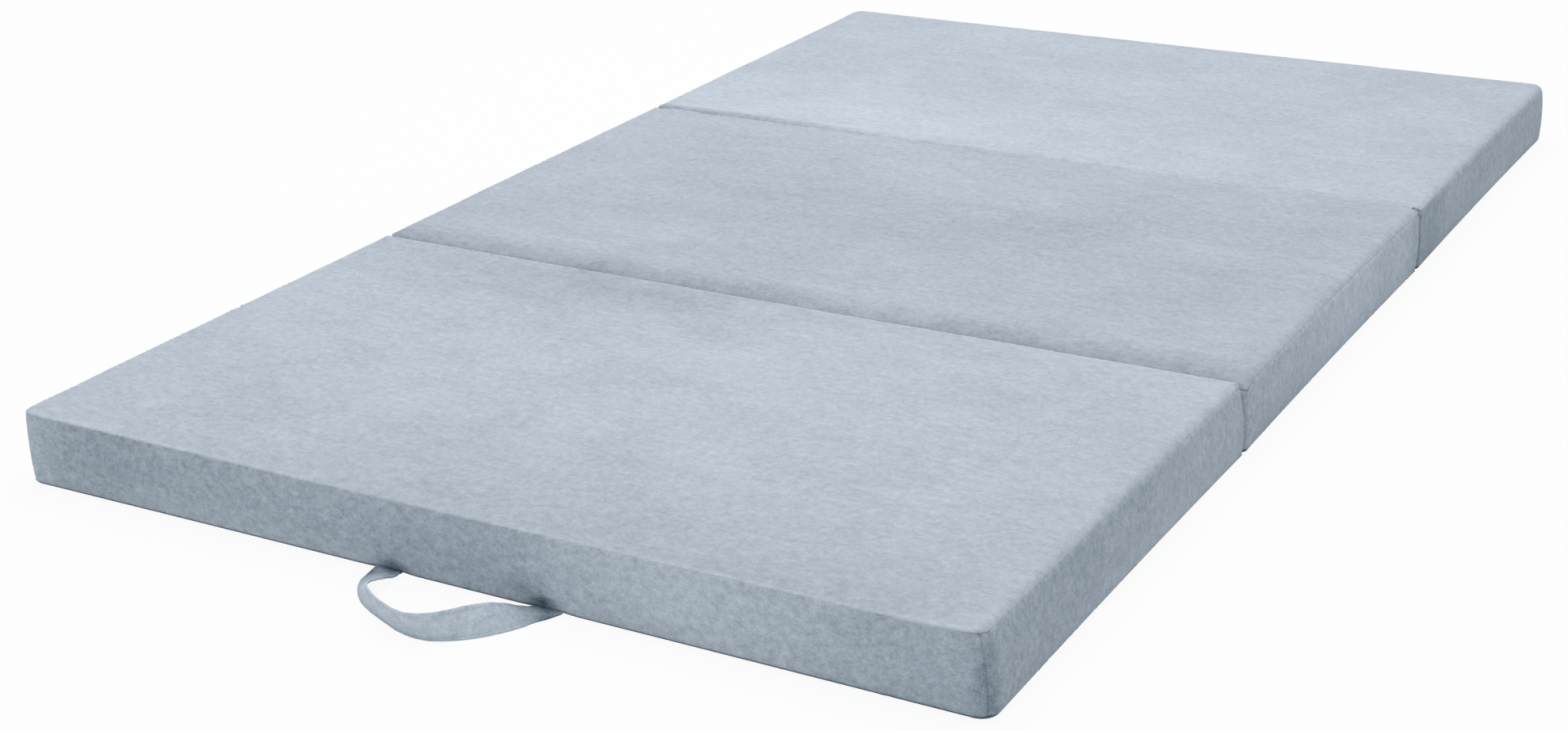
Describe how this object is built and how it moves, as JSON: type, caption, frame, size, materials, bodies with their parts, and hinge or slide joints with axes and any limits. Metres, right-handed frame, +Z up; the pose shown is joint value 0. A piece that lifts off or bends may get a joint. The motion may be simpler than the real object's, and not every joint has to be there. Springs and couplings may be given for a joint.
{
  "type": "folding mattress",
  "caption": "Folding guest mattress lying open: foam sections in a sewn velour cover, joined at fabric fold hinges, with side zips and a twisted carrying strap.",
  "frame": {"origin": "on the floor, under the centre of the middle section", "axes": "+Z up; +Y along the length, from the end with the carrying strap to the far end; +X across to the side without zips"},
  "size_m": [1.2039, 2.1088, 0.09],
  "materials": {
    "velour_top": "short-pile velour, brushed",
    "velour_side": "short-pile velour",
    "underside_cloth": "plain woven cloth",
    "foam": "open-cell foam",
    "zip_tape": "woven tape with a moulded coil",
    "zip_metal": "satin plated metal"
  },
  "bodies": {
    "foot_section": {"foot_foam_core": "foam", "foot_top_panel": "velour_top", "foot_base_panel": "underside_cloth", "foot_boxing_front": "velour_side", "foot_boxing_rear": "velour_side", "foot_boxing_right": "velour_side", "foot_boxing_left_upper": "velour_side", "foot_boxing_left_lower": "velour_side", "foot_zip_tape_upper": "zip_tape", "foot_zip_tape_lower": "zip_tape", "foot_zip_stop_front": "zip_metal", "foot_zip_stop_rear": "zip_metal"},
    "middle_section": {"middle_foam_core": "foam", "middle_top_panel": "velour_top", "middle_base_panel": "underside_cloth", "middle_boxing_front": "velour_side", "middle_boxing_rear": "velour_side", "middle_boxing_right": "velour_side", "middle_boxing_left_upper": "velour_side", "middle_boxing_left_lower": "velour_side", "middle_zip_tape_upper": "zip_tape", "middle_zip_tape_lower": "zip_tape", "middle_zip_stop_front": "zip_metal", "middle_zip_stop_rear": "zip_metal", "lower_fold_hinge": "underside_cloth", "upper_fold_hinge": "velour_top"},
    "head_section": {"head_foam_core": "foam", "head_top_panel": "velour_top", "head_base_panel": "underside_cloth", "head_boxing_front": "velour_side", "head_boxing_rear": "velour_side", "head_boxing_right": "velour_side", "head_boxing_left_upper": "velour_side", "head_boxing_left_lower": "velour_side", "head_zip_tape_upper": "zip_tape", "head_zip_tape_lower": "zip_tape", "head_zip_stop_front": "zip_metal", "head_zip_stop_rear": "zip_metal"},
    "strap": {"carry_strap": "velour_side"},
    "foot_slider": {"foot_zip_slider": "zip_metal"},
    "foot_pull": {"foot_zip_pull": "zip_metal"},
    "middle_slider": {"middle_zip_slider": "zip_metal"},
    "middle_pull": {"middle_zip_pull": "zip_metal"},
    "head_slider": {"head_zip_slider": "zip_metal"},
    "head_pull": {"head_zip_pull": "zip_metal"}
  },
  "joints": [
    {"name": "fold_foot", "type": "hinge", "parent": "middle_section", "child": "foot_section", "pos_m": [0, -0.33333, -0.0005], "axis": [1, 0, 0], "range_deg": [0, 180]},
    {"name": "fold_head", "type": "hinge", "parent": "middle_section", "child": "head_section", "pos_m": [0, 0.33333, 0.091], "axis": [1, 0, 0], "range_deg": [0, 180]},
    {"name": "strap_swing", "type": "hinge", "parent": "foot_section", "child": "strap", "pos_m": [0.01125, -0.99673, 0.00325], "axis": [-1, 0, 0], "range_deg": [0, 50]},
    {"name": "foot_zip_slide", "type": "slide", "parent": "foot_section", "child": "foot_slider", "axis": [0, -1, 0], "range_m": [0, 0.618]},
    {"name": "foot_pull_swing", "type": "hinge", "parent": "foot_slider", "child": "foot_pull", "pos_m": [-0.60216, -0.35113, 0.04325], "axis": [0, 0, -1], "range_deg": [0, 180]},
    {"name": "middle_zip_slide", "type": "slide", "parent": "middle_section", "child": "middle_slider", "axis": [0, -1, 0], "range_m": [0, 0.631]},
    {"name": "middle_pull_swing", "type": "hinge", "parent": "middle_slider", "child": "middle_pull", "pos_m": [-0.60216, 0.31553, 0.04325], "axis": [0, 0, -1], "range_deg": [0, 180]},
    {"name": "head_zip_slide", "type": "slide", "parent": "head_section", "child": "head_slider", "axis": [0, -1, 0], "range_m": [0, 0.618]},
    {"name": "head_pull_swing", "type": "hinge", "parent": "head_slider", "child": "head_pull", "pos_m": [-0.60216, 0.9692, 0.04325], "axis": [0, 0, -1], "range_deg": [0, 180]}
  ]
}
